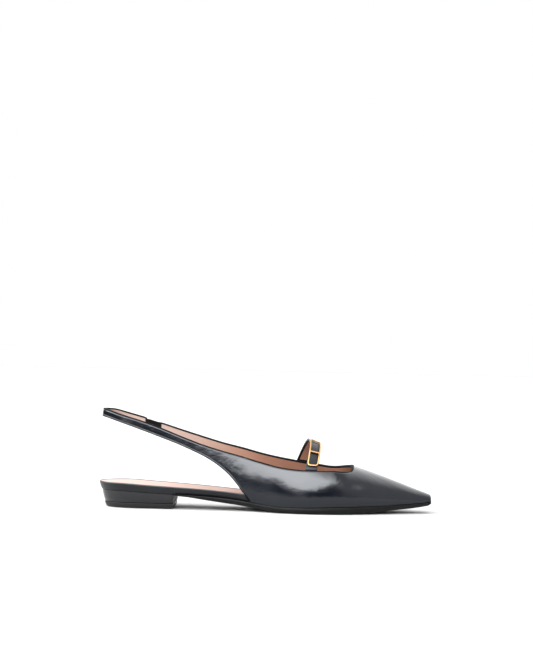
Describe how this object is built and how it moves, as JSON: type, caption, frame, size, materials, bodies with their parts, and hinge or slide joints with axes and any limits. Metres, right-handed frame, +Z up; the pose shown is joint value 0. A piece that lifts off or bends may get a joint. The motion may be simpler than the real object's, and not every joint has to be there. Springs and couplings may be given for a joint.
{
  "type": "sling back flat shoe",
  "caption": "Black leather pointed sling back flat for the right foot, with an instep strap, a plain gold-coloured frame, an elastic at the sling and a low covered heel.",
  "frame": {"origin": "on the floor, at the middle of the shoe's length and width", "axes": "+X towards the toe, +Y towards the medial (big toe) side, +Z up"},
  "size_m": [0.2704, 0.0783, 0.08],
  "materials": {
    "black_calf": "smooth, slightly glossy calf leather",
    "black_wrap": "smooth leather wrapped over the board's edge",
    "black_sole": "stained and waxed sole edge",
    "nude_sock": "pale pink-brown lining leather",
    "black_heel": "glossy covered heel",
    "black_lift": "smooth black rubber",
    "black_elastic": "ribbed woven elastic",
    "black_strap": "smooth calf leather with turned edges",
    "pale_gold": "polished pale gold plating"
  },
  "bodies": {
    "root": {"upper": "black_calf", "insole_board": "black_wrap", "outsole": "black_sole", "sock": "nude_sock", "heel_block": "black_heel", "top_lift": "black_lift", "elastic": "black_elastic", "instep_strap": "black_strap", "strap_frame": "pale_gold"}
  },
  "joints": []
}
